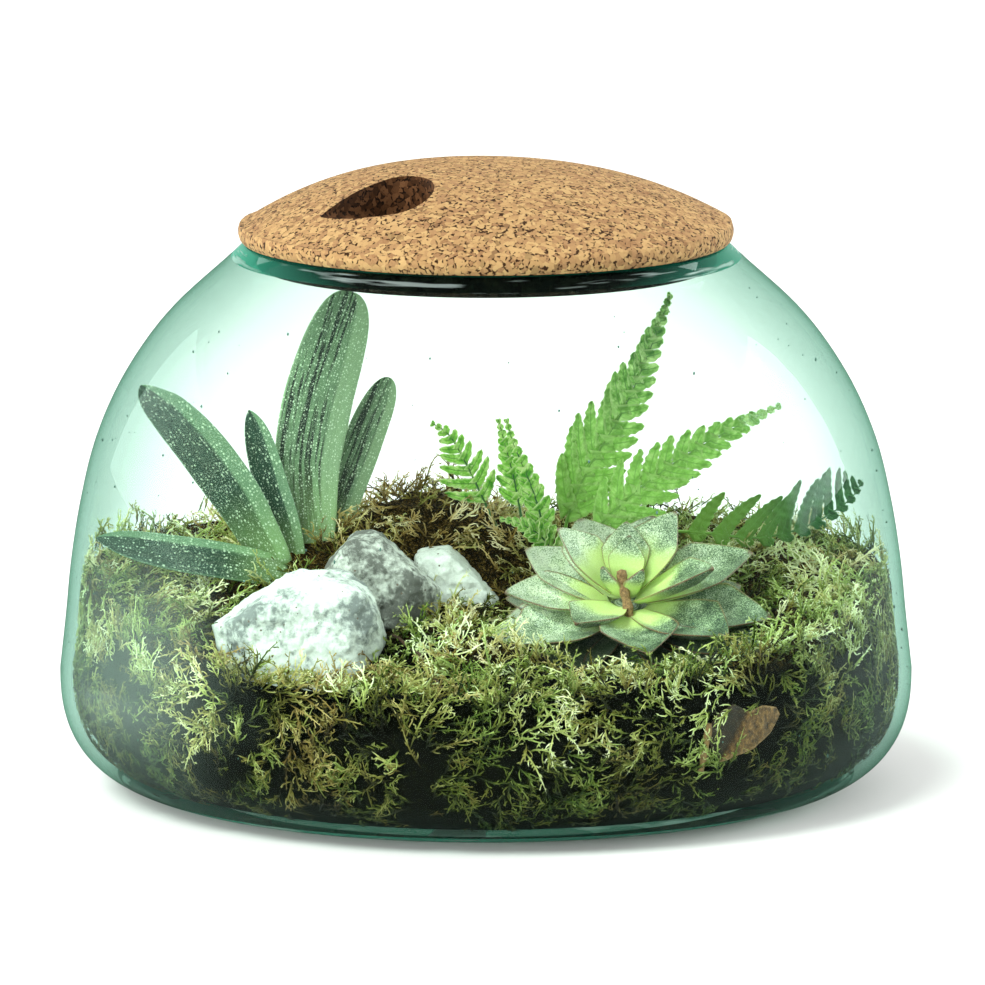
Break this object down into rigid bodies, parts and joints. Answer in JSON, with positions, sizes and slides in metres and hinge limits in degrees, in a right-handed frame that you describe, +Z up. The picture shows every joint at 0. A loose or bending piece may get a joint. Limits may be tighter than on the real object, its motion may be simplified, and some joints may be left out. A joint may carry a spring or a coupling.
{
  "type": "glass plant terrarium",
  "caption": "Closed garden: a squat round glass bowl with a domed cork lid over moss, stones, a tongue-leaved plant, a fern and a leafy rosette.",
  "frame": {"origin": "centre of the bowl's flat underside, on the surface that it stands on", "axes": "+Z up along the bowl's axis; the front, which has the rosette and the lid's finger scoop, faces -Y"},
  "size_m": [0.2852, 0.2852, 0.2097],
  "materials": {
    "recycled_glass": "clear pale green recycled glass, polished, with tiny seeds",
    "agglomerated_cork": "sanded pressed cork grains, matt",
    "potting_soil": "crumbly and damp",
    "moss": "fine branching sprigs, green to golden brown",
    "limestone": "rough, chalky white with grey smudges",
    "ox_tongue_leaf": "dark green, waxy, with raised pale dots",
    "fern_leaf": "thin, bright green, light passes through",
    "rosette_leaf": "thick, dusty grey-green with a powdery bloom",
    "dried_plant": "dry, matt brown",
    "green_stem": "smooth, soft sheen"
  },
  "bodies": {
    "root": {"glass_bowl": "recycled_glass", "cork_lid": "agglomerated_cork", "soil": "potting_soil", "moss_bed": "moss", "stone_front": "limestone", "stone_middle": "limestone", "stone_back": "limestone", "ox_tongue_leaf_tall": "ox_tongue_leaf", "ox_tongue_leaf_back": "ox_tongue_leaf", "ox_tongue_leaf_small": "ox_tongue_leaf", "ox_tongue_leaf_arched": "ox_tongue_leaf", "ox_tongue_leaf_low": "ox_tongue_leaf", "ox_tongue_stem": "dried_plant", "fern_frond_tall": "fern_leaf", "fern_frond_right": "fern_leaf", "fern_frond_far_right": "fern_leaf", "fern_frond_left": "fern_leaf", "fern_frond_left_upright": "fern_leaf", "fern_frond_centre": "fern_leaf", "fern_frond_low": "fern_leaf", "rosette": "rosette_leaf", "rosette_flower_stub": "dried_plant", "dry_leaf": "dried_plant", "fallen_green_stem": "green_stem", "fallen_dark_twig": "dried_plant"}
  },
  "joints": []
}
